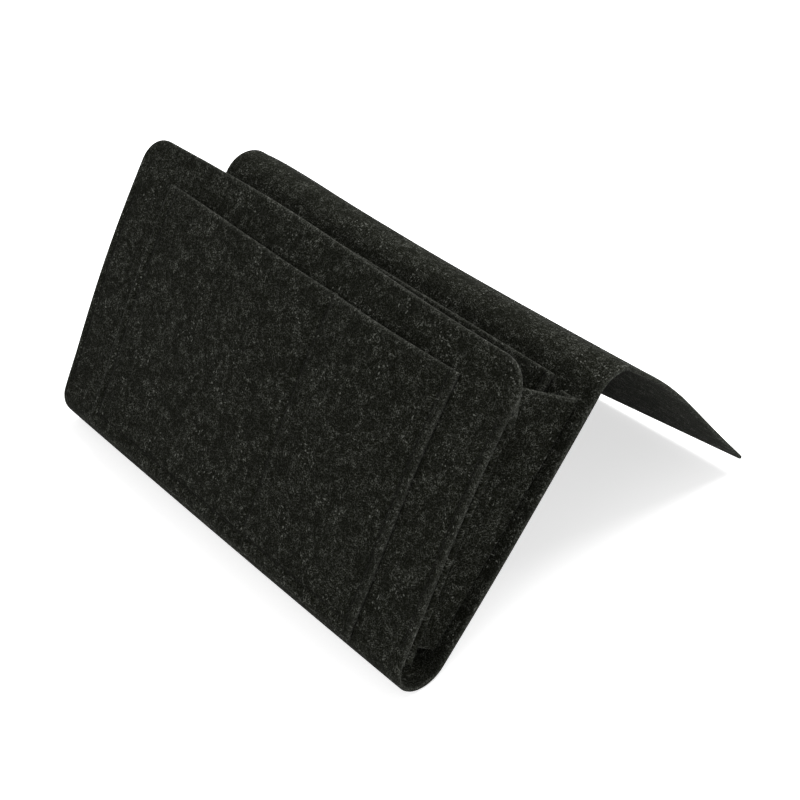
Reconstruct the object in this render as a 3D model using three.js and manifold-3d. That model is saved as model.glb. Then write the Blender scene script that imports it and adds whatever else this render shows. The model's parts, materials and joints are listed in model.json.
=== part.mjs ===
// Bedside caddy of pressed felt. One long sheet is folded into a front panel, a back panel and a flap.
// A slip pocket is sewn on the front, a second pocket inside, and a folded gusset closes each side.
// Millimetres, +Z up, X across the width, pocket front towards -Y. It stands like a tent, on its
// bottom bend and the end of its flap.
import * as THREE from 'three';
import { mergeVertices } from 'three/addons/utils/BufferGeometryUtils.js';
import Module from 'manifold-3d';

const solids = await Module();
solids.setup();
const { Manifold } = solids;
const { degToRad, radToDeg, smoothstep } = THREE.MathUtils;

// Felt
const felt = 2.5; // thickness of every felt piece
const layerGap = 0.3; // between two layers that lie on each other
const foldGap = 0.5; // between the two sides of a fold line

// Long sheet, lengths along its middle
const width = 300;
const frontHeight = 160; // flat front panel, above the bottom bend
const backHeight = 154; // flat back panel, between the two bends
const flapLength = 145; // flat flap, beyond the top bend
const bottomBendRadius = 15.5;
const topBendRadius = 18.3;
const mouthAngle = 11; // between front and back panels, degrees
const flapTurn = 103; // turn of the top bend, degrees
const cornerRadius = 16; // front panel's top corners
const flapLift = 12.5; // rise of the flap's end corners
const flapFlatWidth = 110; // middle of the flap's end that lies flat
const flapSteps = 30; // strips across the lifted flap

// Slip pocket on the front panel
const slipLeftMargin = 33; // from the front panel's left edge
const slipRightMargin = 34;
const slipDrop = 22; // mouth, below the front panel's top edge
const slipTail = 6; // part that follows the bottom bend
const narrowWidth = 90; // from the dividing seam to the pocket's right edge

// Pocket inside, on the back panel
const innerMargin = 27.5; // from each side edge
const innerBottom = 12; // above the bottom bend
const innerDrop = 3; // below the top bend

// Gussets: a flange on each panel and two leaves that meet in a valley
const gussetBackBottom = 4; // above the bottom bend
const gussetFrontBottom = 0.5;
const gussetBackDrop = 9; // below the top bend
const gussetFrontDrop = 27.5; // below the front panel's top edge
const flangeWidth = 12;
const backFoldInset = 7; // outer fold, inside the back panel's edge
const frontFoldProud = 1; // outer fold, outside the front panel's edge
const leafWidth = 28.4; // from outer fold to valley at the top
const valleyGap = 1.6; // each leaf stops this far from the valley line

// Seams
const seamInset = 5.5; // from a sewn edge to its thread
const seamBottom = 1; // slip pocket's lower seam, above the bottom bend
const stitchPitch = 4;
const stitchSlope = 0.2; // share of a stitch's pitch in which it rises, and again falls
const threadWidth = 0.9;
const threadHeight = 0.8;
const threadDip = 0.4; // thread height between two stitches
const grooveDepth = 0.8;
const seamGap = 0.2; // thread to groove

const bendStep = 7; // degrees for each facet of a bend
const noseSteps = 8; // facets of a rounded fold edge
const overcut = 1; // cutters pass a face by this much
const weldDistance = 1e-4; // corners nearer than this are one corner

// Places worked out from the sizes above
const layerPitch = felt + layerGap;
const bottomHalfTurn = (180 - mouthAngle) / 2;
const topHalfTurn = flapTurn / 2;
const foldSetback = felt / 2 + foldGap;
const leafOffset = 2 * layerPitch; // leaf's fold axis from the panel's middle
const slipLeft = slipLeftMargin - width / 2;
const slipRight = width / 2 - slipRightMargin;
const slipTop = frontHeight - slipDrop;
const dividerX = slipRight - narrowWidth;
const innerWidth = width - 2 * innerMargin;
const innerTop = backHeight - innerDrop;
const gussetBack = { bottom: gussetBackBottom, top: backHeight - gussetBackDrop };
const gussetFront = { bottom: gussetFrontBottom, top: frontHeight - gussetFrontDrop };
const valley = {
  bottom: (gussetBack.bottom + gussetFront.bottom) / 2,
  top: (gussetBack.top + gussetFront.top) / 2,
};
const backFoldX = width / 2 - backFoldInset;
const frontFoldX = width / 2 + frontFoldProud;
const backAxisX = backFoldX - felt / 2;
const frontAxisX = frontFoldX - felt / 2;

const feltLook = { color: 0x2a2b2c, roughness: 0.96, metalness: 0 };
const threadLook = { color: 0x1b1b1d, roughness: 0.8, metalness: 0 };

// Joining and cutting of closed geometries

function toSolid(geometry) {
  const bare = geometry.clone();
  bare.deleteAttribute('normal');
  bare.deleteAttribute('uv');
  const welded = mergeVertices(bare, weldDistance);
  const vertProperties = new Float32Array(welded.attributes.position.array);
  const triVerts = new Uint32Array(welded.index.array);
  return new Manifold(new solids.Mesh({ numProp: 3, vertProperties, triVerts }));
}

function toGeometry(solid) {
  const { vertProperties, triVerts } = solid.getMesh();
  const geometry = new THREE.BufferGeometry();
  geometry.setAttribute('position', new THREE.BufferAttribute(vertProperties, 3));
  geometry.setIndex(new THREE.BufferAttribute(triVerts, 1));
  geometry.computeVertexNormals();
  return geometry;
}

const cut = (body, ...cutters) => toGeometry(
  cutters.reduce((solid, cutter) => solid.subtract(toSolid(cutter)), toSolid(body)),
);
const join = (...bodies) => toGeometry(bodies.map(toSolid).reduce((a, b) => a.add(b)));

// Felt strips, drawn from the side in Y and Z

const polar = (radius, angle) => ({
  y: radius * Math.cos(degToRad(angle)),
  z: radius * Math.sin(degToRad(angle)),
});

// Stations along a strip's middle line, through stretches of a given length and turn in degrees
function follow(start, heading, stretches) {
  const stations = [{ ...start, heading }];
  for (const { length, turn = 0 } of stretches) {
    const steps = Math.max(1, Math.ceil(Math.abs(turn) / bendStep));
    const halfTurn = turn / steps / 2;
    const sag = turn ? Math.sin(degToRad(halfTurn)) / degToRad(halfTurn) : 1;
    for (let i = 0; i < steps; i++) {
      const last = stations.at(-1);
      const step = polar((length / steps) * sag, last.heading + halfTurn);
      stations.push({ y: last.y + step.y, z: last.z + step.z, heading: last.heading + 2 * halfTurn });
    }
  }
  return stations;
}

// Outline of a strip one felt thick, with a rounded start where it turns on a fold line
function strip(stations, roundStart = false) {
  const side = ({ y, z, heading }, turn) => {
    const offset = polar(felt / 2, heading + turn);
    return new THREE.Vector2(y + offset.y, z + offset.z);
  };
  const outline = stations.map((station) => side(station, -90));
  outline.push(...stations.map((station) => side(station, 90)).reverse());
  if (roundStart) {
    for (let i = 1; i < noseSteps; i++) outline.push(side(stations[0], 90 + (180 * i) / noseSteps));
  }
  return new THREE.Shape(outline);
}

const acrossFrame = new THREE.Matrix4().makeBasis(
  new THREE.Vector3(0, 1, 0),
  new THREE.Vector3(0, 0, 1),
  new THREE.Vector3(1, 0, 0),
);

// A side outline carried across the caddy from one X to another
function across(outline, fromX, toX, steps = 1) {
  const geometry = new THREE.ExtrudeGeometry(outline, { depth: toX - fromX, steps, bevelEnabled: false });
  return geometry.translate(0, 0, fromX).applyMatrix4(acrossFrame);
}

// A flat piece lying on a panel, whose middle is at the given Y
function flatPiece(fromX, toX, fromZ, toZ, y) {
  const box = new THREE.BoxGeometry(toX - fromX, felt, toZ - fromZ);
  return box.translate((fromX + toX) / 2, y, (fromZ + toZ) / 2);
}

// Seams: a thread of raised stitches lying in a groove, on a face that looks towards -Y

const stitchFrame = new THREE.Matrix4().makeBasis(
  new THREE.Vector3(0, 0, 1),
  new THREE.Vector3(0, -1, 0),
  new THREE.Vector3(1, 0, 0),
);

// Thread along +Z from the origin, standing up towards -Y
function stitchRun(length) {
  const count = Math.round(length / stitchPitch);
  const pitch = length / count;
  const outline = new THREE.Shape().moveTo(0, 0).lineTo(0, threadDip);
  for (let i = 0; i < count; i++) {
    outline.lineTo((i + stitchSlope) * pitch, threadHeight);
    outline.lineTo((i + 1 - stitchSlope) * pitch, threadHeight);
    outline.lineTo((i + 1) * pitch, threadDip);
  }
  outline.lineTo(length, 0);
  const thread = new THREE.ExtrudeGeometry(outline, { depth: threadWidth, bevelEnabled: false });
  return thread.translate(0, 0, -threadWidth / 2).applyMatrix4(stitchFrame);
}

const seamDepth = grooveDepth - seamGap;

// A run is {x, z, length}, upwards, or {..., level: true}, towards +X, on the face at faceY
function thread(runs, faceY) {
  return join(...runs.map(({ x, z, length, level }) => {
    const run = stitchRun(length);
    if (level) run.rotateY(Math.PI / 2);
    return run.translate(x, faceY + seamDepth, z);
  }));
}

function grooves(runs, faceY) {
  const span = threadWidth + 2 * seamGap;
  return runs.map(({ x, z, length, level }) => {
    const along = length + span;
    const groove = new THREE.BoxGeometry(level ? along : span, 2 * grooveDepth, level ? span : along);
    return groove.translate(level ? x + length / 2 : x, faceY, level ? z : z + length / 2);
  });
}

// A seam along the left, bottom and right edges of a pocket
function pocketRuns(left, right, bottom, top) {
  const height = top - bottom;
  return [
    { x: left, z: bottom, length: height },
    { x: right, z: bottom, length: height },
    { x: left, z: bottom, length: right - left, level: true },
  ];
}

function mesh(name, geometry, look = feltLook) {
  const piece = new THREE.Mesh(geometry, new THREE.MeshStandardMaterial(look));
  piece.name = name;
  return piece;
}

// Back panel, with its half of the two bends. Its middle is the plane Y = 0.

const backFaceY = felt / 2;
const sides = [
  { side: 'left', sign: -1 },
  { side: 'right', sign: 1 },
];

const flangeRun = (foldX, { bottom, top }) => ({
  x: foldX - seamInset,
  z: bottom + seamInset,
  length: top - bottom - 2 * seamInset,
});
const mirrored = (run, sign) => ({ ...run, x: sign * run.x });

// The back seams' thread lies on the rear face, so it is drawn for a front face and turned round
const turnRound = (geometry) => geometry.rotateZ(Math.PI);
const backSeamRun = flangeRun(backFoldX, gussetBack);

function backPanel() {
  const bottomTurn = bottomHalfTurn - radToDeg(foldSetback / bottomBendRadius);
  const topTurn = topHalfTurn - radToDeg(foldSetback / topBendRadius);
  const start = polar(bottomBendRadius, -bottomTurn);
  start.y -= bottomBendRadius;
  const stations = follow(start, 90 - bottomTurn, [
    { length: bottomBendRadius * degToRad(bottomTurn), turn: bottomTurn },
    { length: backHeight },
    { length: topBendRadius * degToRad(topTurn), turn: -topTurn },
  ]);
  const runs = sides.map(({ sign }) => mirrored(backSeamRun, sign));
  const seams = grooves(runs, -backFaceY).map(turnRound);
  return cut(across(strip(stations), -width / 2, width / 2), ...seams);
}

// Front panel, in a frame whose Z runs up the panel from the bottom bend and whose Y = 0 is its middle

const frontFaceY = -felt / 2;
const frontSeamRun = flangeRun(frontFoldX, gussetFront);

function topCornerCutter(sign) {
  const corner = new THREE.Shape();
  const edge = width / 2 - cornerRadius;
  const rise = frontHeight - cornerRadius;
  corner.moveTo(edge, frontHeight + overcut);
  corner.lineTo(edge, frontHeight);
  corner.absarc(edge, rise, cornerRadius, Math.PI / 2, 0, true);
  corner.lineTo(width / 2 + overcut, rise);
  corner.lineTo(width / 2 + overcut, frontHeight + overcut);
  const cutter = new THREE.ExtrudeGeometry(corner, { depth: 2 * felt, bevelEnabled: false });
  cutter.translate(0, 0, -felt).rotateX(Math.PI / 2);
  return sign > 0 ? cutter : cutter.rotateZ(Math.PI);
}

function frontPanel() {
  const start = polar(bottomBendRadius, 180 + bottomHalfTurn);
  start.y += bottomBendRadius;
  const stations = follow(start, 90 + bottomHalfTurn, [
    { length: bottomBendRadius * degToRad(bottomHalfTurn), turn: -bottomHalfTurn },
    { length: frontHeight },
  ]);
  const sheet = across(strip(stations, true), -width / 2, width / 2);
  const runs = sides.map(({ sign }) => mirrored(frontSeamRun, sign));
  return cut(sheet, topCornerCutter(1), topCornerCutter(-1), ...grooves(runs, frontFaceY));
}

// Slip pocket, one layer outside the front panel, its tail following the bottom bend

const slipY = -layerPitch;
const slipFaceY = slipY - felt / 2;
const slipRuns = pocketRuns(slipLeft + seamInset, slipRight - seamInset, seamBottom, slipTop);
const dividerRuns = [{ x: dividerX, z: seamBottom + stitchPitch, length: slipTop - seamBottom - stitchPitch }];

function slipPocket() {
  const bendRadius = bottomBendRadius + layerPitch;
  const tailTurn = radToDeg(slipTail / bendRadius);
  const start = polar(bendRadius, 180 + tailTurn);
  start.y += bottomBendRadius;
  const stations = follow(start, 90 + tailTurn, [
    { length: slipTail, turn: -tailTurn },
    { length: slipTop },
  ]);
  const sheet = across(strip(stations), slipLeft, slipRight);
  return cut(sheet, ...grooves([...slipRuns, ...dividerRuns], slipFaceY));
}

// Inner pocket, one layer in front of the back panel

const innerY = -layerPitch;
const innerFaceY = innerY - felt / 2;
const innerRuns = pocketRuns(
  seamInset - innerWidth / 2,
  innerWidth / 2 - seamInset,
  innerBottom + seamInset,
  innerTop,
);

function innerPocket() {
  const sheet = flatPiece(-innerWidth / 2, innerWidth / 2, innerBottom, innerTop, innerY);
  return cut(sheet, ...grooves(innerRuns, innerFaceY));
}

// Flap, in a frame at the top fold line. Its end corners rise from the flat middle.

function flap() {
  const stations = follow({ y: 0, z: 0 }, 90 - topHalfTurn, [
    { length: topBendRadius * degToRad(topHalfTurn), turn: -topHalfTurn },
    { length: flapLength },
  ]);
  const sheet = across(strip(stations, true), -width / 2, width / 2, flapSteps);
  const end = stations.at(-1);
  const along = polar(1, end.heading);
  const up = polar(1, end.heading + 90);
  const places = sheet.attributes.position;
  for (let i = 0; i < places.count; i++) {
    const x = places.getX(i);
    const y = places.getY(i);
    const z = places.getZ(i);
    const beyondBend = (y - end.y) * along.y + (z - end.z) * along.z + flapLength;
    const share = Math.max(0, beyondBend / flapLength);
    const rise = flapLift * share * smoothstep(Math.abs(x), flapFlatWidth / 2, width / 2);
    places.setY(i, y + rise * up.y);
    places.setZ(i, z + rise * up.z);
  }
  return toGeometry(toSolid(sheet));
}

// Gusset leaves. Both are flat, so their widths follow the gap between the two fold axes.

const axisGap = (height) => {
  const spread = bottomBendRadius * (1 + Math.cos(degToRad(mouthAngle))) - 2 * leafOffset;
  return spread + height * Math.sin(degToRad(mouthAngle));
};
const foldStep = frontAxisX - backAxisX;

// Leaf angles from the panels, where two leaves of equal width meet at the top
const topGap = axisGap(valley.top);
const axisSpan = Math.hypot(topGap, foldStep);
const valleyDepth = Math.sqrt(leafWidth ** 2 - (axisSpan / 2) ** 2);
const spanTilt = Math.atan2(foldStep, topGap);
const halfAngle = Math.atan2(axisSpan / 2, valleyDepth);
const backLeafAngle = halfAngle + spanTilt;
const frontLeafAngle = halfAngle - spanTilt;

// Reach of each leaf at a height, from its fold axis to the valley
function leafReach(height) {
  const gap = axisGap(height);
  const backSlope = 1 / Math.tan(backLeafAngle);
  const frontSlope = 1 / Math.tan(frontLeafAngle);
  const backDepth = (gap * frontSlope - foldStep) / (backSlope + frontSlope);
  return {
    back: backDepth / Math.sin(backLeafAngle) - valleyGap,
    front: (gap - backDepth) / Math.sin(frontLeafAngle) - valleyGap,
  };
}

// A leaf reaching along -X from its rounded fold, on the Z axis, to the valley
function gussetLeaf(topReach, bottomReach, { bottom, top }) {
  const outline = new THREE.Shape();
  outline.moveTo(0, bottom);
  outline.lineTo(0, top);
  outline.lineTo(-topReach, valley.top);
  outline.lineTo(-bottomReach, valley.bottom);
  const leaf = new THREE.ExtrudeGeometry(outline, { depth: felt, bevelEnabled: false });
  leaf.translate(0, 0, -felt / 2).rotateX(Math.PI / 2);
  const fold = new THREE.CylinderGeometry(felt / 2, felt / 2, top - bottom, 2 * noseSteps);
  fold.rotateX(Math.PI / 2).translate(0, 0, (top + bottom) / 2);
  return join(leaf, fold);
}

function leafGroup(name, sign, axisX, axisY, angle, geometry) {
  const pivot = new THREE.Group();
  pivot.position.set(sign * axisX, axisY, 0);
  pivot.rotation.z = sign * angle;
  if (sign < 0) geometry.rotateZ(Math.PI);
  pivot.add(mesh(name, geometry));
  return pivot;
}

// Assembly: the back panel stands upright, the front panel and the flap hang on their fold lines

const back = new THREE.Group();
back.add(mesh('back_panel', backPanel()));
back.add(mesh('inner_pocket', innerPocket()));
back.add(mesh('inner_pocket_seam', thread(innerRuns, innerFaceY), threadLook));

const front = new THREE.Group();
const frontFoot = polar(bottomBendRadius, 180 + mouthAngle);
front.position.set(0, frontFoot.y - bottomBendRadius, frontFoot.z);
front.rotation.x = degToRad(mouthAngle);
front.add(mesh('front_panel', frontPanel()));
front.add(mesh('slip_pocket', slipPocket()));
front.add(mesh('slip_pocket_seam', thread(slipRuns, slipFaceY), threadLook));
front.add(mesh('slip_pocket_divider_seam', thread(dividerRuns, slipFaceY), threadLook));

const flapFold = new THREE.Group();
const ridge = polar(topBendRadius, 180 - topHalfTurn);
flapFold.position.set(0, topBendRadius + ridge.y, backHeight + ridge.z);
flapFold.add(mesh('flap', flap()));

const topReach = leafReach(valley.top);
const bottomReach = leafReach(valley.bottom);
for (const { side, sign } of sides) {
  const flange = (foldX, { bottom, top }, y) => {
    const edges = [sign * foldX, sign * (foldX - flangeWidth)].sort((a, b) => a - b);
    return flatPiece(...edges, bottom, top, y);
  };
  const name = `gusset_${side}`;
  back.add(mesh(`${name}_back_flange`, flange(backFoldX, gussetBack, -layerPitch)));
  front.add(mesh(`${name}_front_flange`, flange(frontFoldX, gussetFront, layerPitch)));

  const backLeaf = gussetLeaf(topReach.back, bottomReach.back, gussetBack);
  back.add(leafGroup(`${name}_back_leaf`, sign, backAxisX, -leafOffset, backLeafAngle, backLeaf));
  const frontLeaf = gussetLeaf(topReach.front, bottomReach.front, gussetFront);
  front.add(leafGroup(`${name}_front_leaf`, sign, frontAxisX, leafOffset, -frontLeafAngle, frontLeaf));

  const backThread = turnRound(thread([mirrored(backSeamRun, -sign)], -backFaceY));
  back.add(mesh(`${name}_back_seam`, backThread, threadLook));
  const frontThread = thread([mirrored(frontSeamRun, sign)], frontFaceY);
  front.add(mesh(`${name}_front_seam`, frontThread, threadLook));
}

const caddy = new THREE.Group();
caddy.add(back, front, flapFold);

// Lean the caddy back until its bottom bend and the end of its flap both touch the floor
const flapHeading = 90 - flapTurn;
const flapStart = polar(topBendRadius, 180 - flapTurn);
const flapRun = polar(flapLength, flapHeading);
const underside = polar(felt / 2, flapHeading - 90);
const flapEnd = {
  y: topBendRadius + flapStart.y + flapRun.y + underside.y + bottomBendRadius,
  z: backHeight + flapStart.z + flapRun.z + underside.z,
};
const floorTilt = Math.atan2(flapEnd.z, flapEnd.y)
  + Math.asin((bottomBendRadius + felt / 2) / Math.hypot(flapEnd.y, flapEnd.z));
caddy.rotation.x = -floorTilt;

// Put the origin in the middle of the floor under it
caddy.updateMatrixWorld(true);
const reach = new THREE.Box3().setFromObject(caddy, true);
caddy.position.set(0, -(reach.min.y + reach.max.y) / 2, -reach.min.z);

const part = new THREE.Group();
part.add(caddy);

export default part;
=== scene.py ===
import json
import math

import bpy
import numpy as np
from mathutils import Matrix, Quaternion, Vector


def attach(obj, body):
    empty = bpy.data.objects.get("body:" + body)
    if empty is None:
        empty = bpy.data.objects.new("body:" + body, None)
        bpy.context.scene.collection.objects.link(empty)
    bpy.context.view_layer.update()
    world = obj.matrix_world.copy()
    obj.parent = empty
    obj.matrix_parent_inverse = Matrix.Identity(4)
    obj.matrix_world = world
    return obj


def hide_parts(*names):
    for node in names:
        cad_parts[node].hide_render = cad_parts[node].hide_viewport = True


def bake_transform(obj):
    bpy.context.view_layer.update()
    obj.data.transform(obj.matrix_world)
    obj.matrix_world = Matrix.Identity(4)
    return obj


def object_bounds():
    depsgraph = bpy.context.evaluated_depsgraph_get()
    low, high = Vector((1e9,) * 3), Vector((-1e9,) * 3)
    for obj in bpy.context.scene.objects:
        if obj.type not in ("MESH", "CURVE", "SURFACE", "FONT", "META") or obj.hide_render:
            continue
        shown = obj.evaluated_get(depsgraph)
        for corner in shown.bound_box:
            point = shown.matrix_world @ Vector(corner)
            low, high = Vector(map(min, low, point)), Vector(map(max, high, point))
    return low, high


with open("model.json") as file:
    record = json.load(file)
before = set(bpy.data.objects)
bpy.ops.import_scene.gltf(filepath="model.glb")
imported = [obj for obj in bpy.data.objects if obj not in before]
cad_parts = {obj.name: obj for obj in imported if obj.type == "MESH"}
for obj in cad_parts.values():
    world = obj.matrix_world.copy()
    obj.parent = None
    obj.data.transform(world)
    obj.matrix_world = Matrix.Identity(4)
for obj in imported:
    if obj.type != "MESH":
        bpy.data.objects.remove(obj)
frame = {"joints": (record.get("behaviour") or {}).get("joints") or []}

cadBox = [[float(v) for v in corner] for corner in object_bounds()]
mm = 0.001
joints = {joint["name"]: joint for joint in frame["joints"]}


def addObject(name, data):
    thing = bpy.data.objects.new(name, data)
    bpy.context.scene.collection.objects.link(thing)
    return thing


# Node trees

def feed(tree, socket, value):
    # a socket takes a link from another socket, or a plain value
    if isinstance(value, bpy.types.NodeSocket):
        tree.links.new(value, socket)
    else:
        socket.default_value = value


def addNode(tree, kind, settings=None, **inputs):
    # inputs are named without spaces
    node = tree.nodes.new(kind)
    for key, value in (settings or {}).items():
        setattr(node, key, value)
    byName = {socket.name.replace(" ", ""): socket for socket in reversed(node.inputs)}
    for key, value in inputs.items():
        feed(tree, byName[key], value)
    return node


def mathNode(tree, operation, first, second=0.0):
    node = addNode(tree, "ShaderNodeMath", {"operation": operation})
    for socket, value in zip(node.inputs, (first, second)):
        feed(tree, socket, value)
    return node.outputs[0]


def mixColour(tree, share, first, second):
    node = addNode(tree, "ShaderNodeMix", {"data_type": "RGBA"})
    colourSockets = [socket for socket in node.inputs if socket.type == "RGBA"]
    for socket, value in zip([node.inputs[0]] + colourSockets, (share, first, second)):
        feed(tree, socket, value)
    return [socket for socket in node.outputs if socket.type == "RGBA"][0]


def mixShader(tree, share, first, second):
    node = addNode(tree, "ShaderNodeMixShader")
    for socket, value in zip(node.inputs, (share, first, second)):
        feed(tree, socket, value)
    return node.outputs[0]


def seenRay(tree):
    # 1 for what the camera sees, also by reflection or through glass
    path = tree.nodes.new("ShaderNodeLightPath").outputs
    seen = mathNode(tree, "MAXIMUM", path["Is Camera Ray"], path["Is Glossy Ray"])
    return mathNode(tree, "MAXIMUM", seen, path["Is Transmission Ray"])


def threshold(tree, value, low, high):
    node = addNode(
        tree, "ShaderNodeMapRange", {"interpolation_type": "SMOOTHSTEP"},
        Value=value, FromMin=low, FromMax=high)
    return node.outputs["Result"]


def newMaterial(name):
    material = bpy.data.materials.new(name)
    material.use_nodes = True
    return material, material.node_tree


def setShader(tree, values):
    shader = tree.nodes["Principled BSDF"]
    for key, value in values.items():
        feed(tree, shader.inputs[key], value)


# Felt: pressed fibres of mixed greys, in millimetres of the flat sheet. A range is where a noise starts to
# count and counts wholly, and a gain is a factor and what is added.
felt = {
    "dark": (0.0022, 0.0025, 0.0014, 1),
    "middle": (0.0160, 0.0171, 0.0120, 1),
    "light": (0.1480, 0.1525, 0.1360, 1),
    "fibre": (4.0, 1.6),  # bend and spacing of the fibres
    "turns": (5, 39, 70, 104, 140, 166),  # degrees
    "fibreShift": (37.0, 53.0),  # from one direction's noise to the next
    "hair": 0.042,
    "partSize": 0.7,  # of the breaks in a fibre, in its own stretched scale
    "partRange": (0.50, 0.62),
    "grain": 0.72,
    "grainRange": (0.36, 0.66),
    "lint": 1.5,
    "lintRange": (0.74, 0.82),
    "lintLight": 0.7,
    "rare": 13.5,  # patches that have lint
    "rareRange": (0.66, 0.70),
    "cluster": 4.2,
    "clusterRange": (0.15, 0.80),
    "clusterGain": (0.85, 0.08),
    "mottle": 10.0,
    "mottleRange": (0.32, 0.68),
    "mottleGain": (0.75, 0.25),
    "brokenGain": (0.8, 0.2),
    "groundLight": 0.42,
    "slant": 28.0,  # degrees, of the grain, clusters and mottle
    "warp": 0.8,
    "edgeLight": 0.32,
    # painted shade: share of the dark colour laid into a seam's dent
    "dentDark": 0.22,
    "roughness": 0.98,
    "fleckGloss": 0.15,
    "specular": 0.02,
    "sheen": 0.025,
    "sheenRoughness": 0.3,
    "heightShares": (0.5, 0.5),  # of the fibres and the grain
    "bump": 0.6,
    "bumpHeight": 0.0005,  # metres
}


def makeHeather():
    # Colour, roughness and height of heathered felt. Light fibres are the lines where a stretched noise
    # crosses its middle, in a few directions, over a fine grain and a slow mottle. A cut edge is lighter, and
    # a dent darker by painted shade.
    group = bpy.data.node_groups.new("heather", "ShaderNodeTree")
    taken = {
        "Flat": "Vector", "Cut Edge": "Float", "Dent": "Float",
        "Dark": "Color", "Middle": "Color", "Light": "Color"}
    for name, kind in taken.items():
        group.interface.new_socket(name, in_out="INPUT", socket_type="NodeSocket" + kind)
    for name, kind in {"Color": "Color", "Roughness": "Float", "Height": "Float"}.items():
        group.interface.new_socket(name, in_out="OUTPUT", socket_type="NodeSocket" + kind)
    given = group.nodes.new("NodeGroupInput").outputs

    def noise(place, size, detail=1.0, warp=0.0):
        node = addNode(
            group, "ShaderNodeTexNoise", {"noise_dimensions": "2D"},
            Vector=place, Scale=1 / size, Detail=detail, Distortion=warp)
        return node.outputs[0]

    def times(first, second):
        return mathNode(group, "MULTIPLY", first, second)

    def gained(value, gain):
        return mathNode(group, "ADD", times(value, gain[0]), gain[1])

    place = addNode(
        group, "ShaderNodeVectorMath", {"operation": "SCALE"}, Vector=given["Flat"], Scale=1 / mm).outputs[0]
    fibres = 0.0
    bend, spacing = felt["fibre"]
    shiftX, shiftY = felt["fibreShift"]
    for count, turn in enumerate(felt["turns"]):
        laid = addNode(
            group, "ShaderNodeMapping", {"vector_type": "TEXTURE"}, Vector=place,
            Location=(shiftX * count, shiftY * count, 0), Rotation=(0, 0, math.radians(turn)),
            Scale=(bend, spacing, 1)).outputs[0]
        offMiddle = mathNode(group, "ABSOLUTE", mathNode(group, "SUBTRACT", noise(laid, 1.0), 0.5))
        strand = threshold(group, offMiddle, felt["hair"], 0.0)
        part = threshold(group, noise(laid, felt["partSize"], detail=0.0), *felt["partRange"])
        fibres = mathNode(group, "MAXIMUM", fibres, times(strand, part))

    slanted = addNode(
        group, "ShaderNodeMapping", Vector=place, Rotation=(0, 0, math.radians(felt["slant"]))).outputs[0]
    shade = threshold(group, noise(slanted, felt["grain"], detail=2.0), *felt["grainRange"])
    rare = threshold(group, noise(place, felt["rare"], detail=0.0), *felt["rareRange"])
    lint = times(rare, threshold(group, noise(place, felt["lint"], detail=0.0), *felt["lintRange"]))
    cluster = threshold(group, noise(slanted, felt["cluster"], warp=felt["warp"]), *felt["clusterRange"])
    mottle = noise(slanted, felt["mottle"], detail=2.0, warp=felt["warp"])
    mottle = threshold(group, mottle, *felt["mottleRange"])
    strength = gained(times(cluster, gained(mottle, felt["mottleGain"])), felt["clusterGain"])
    fleck = times(times(fibres, gained(shade, felt["brokenGain"])), strength)
    fleck = mathNode(group, "MAXIMUM", fleck, times(lint, felt["lintLight"]))

    ground = times(shade, mathNode(group, "ADD", strength, felt["groundLight"]))
    colour = mixColour(group, ground, given["Dark"], given["Middle"])
    colour = mixColour(group, fleck, colour, given["Light"])
    frayed = times(given["Cut Edge"], gained(fibres, felt["brokenGain"]))
    colour = mixColour(group, times(frayed, felt["edgeLight"]), colour, given["Light"])
    # painted shade: a dent is darkened towards the dark colour
    colour = mixColour(group, times(given["Dent"], felt["dentDark"]), colour, given["Dark"])
    fibreShare, grainShare = felt["heightShares"]
    height = mathNode(group, "ADD", times(fibres, fibreShare), times(shade, grainShare))
    rough = mathNode(group, "SUBTRACT", felt["roughness"], times(fleck, felt["fleckGloss"]))
    out = group.nodes.new("NodeGroupOutput")
    for name, value in {"Color": colour, "Roughness": rough, "Height": height}.items():
        group.links.new(value, out.inputs[name])
    return group


heather = makeHeather()


def feltMaterial(name):
    material, tree = newMaterial(name)
    flat = addNode(tree, "ShaderNodeUVMap", {"uv_map": "flat"})
    cut = addNode(tree, "ShaderNodeAttribute", {"attribute_name": "cutEdge"})
    dent = addNode(tree, "ShaderNodeAttribute", {"attribute_name": "dent"})
    pattern = addNode(
        tree, "ShaderNodeGroup", {"node_tree": heather}, Flat=flat.outputs[0], CutEdge=cut.outputs["Fac"],
        Dent=dent.outputs["Fac"], Dark=felt["dark"], Middle=felt["middle"], Light=felt["light"]).outputs
    bump = addNode(
        tree, "ShaderNodeBump", Height=pattern["Height"], Strength=felt["bump"], Distance=felt["bumpHeight"])
    setShader(tree, {
        "Base Color": pattern["Color"],
        "Roughness": pattern["Roughness"],
        "Normal": bump.outputs[0],
        "Specular IOR Level": felt["specular"],
        "Sheen Weight": felt["sheen"],
        "Sheen Roughness": felt["sheenRoughness"],
    })
    return material


thread = {
    "dark": (0.0045, 0.0047, 0.0038, 1),
    "light": (0.0150, 0.0156, 0.0125, 1),
    "ply": 0.0011,  # metres
    "twist": 38.0,  # degrees
    "waveScale": 0.35,
    "warp": 0.8,
    "warpScale": 2.0,
    "bump": 0.6,
    "bumpHeight": 0.0002,  # metres
    "roughness": 0.85,
    "specular": 0.05,
}


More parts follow.
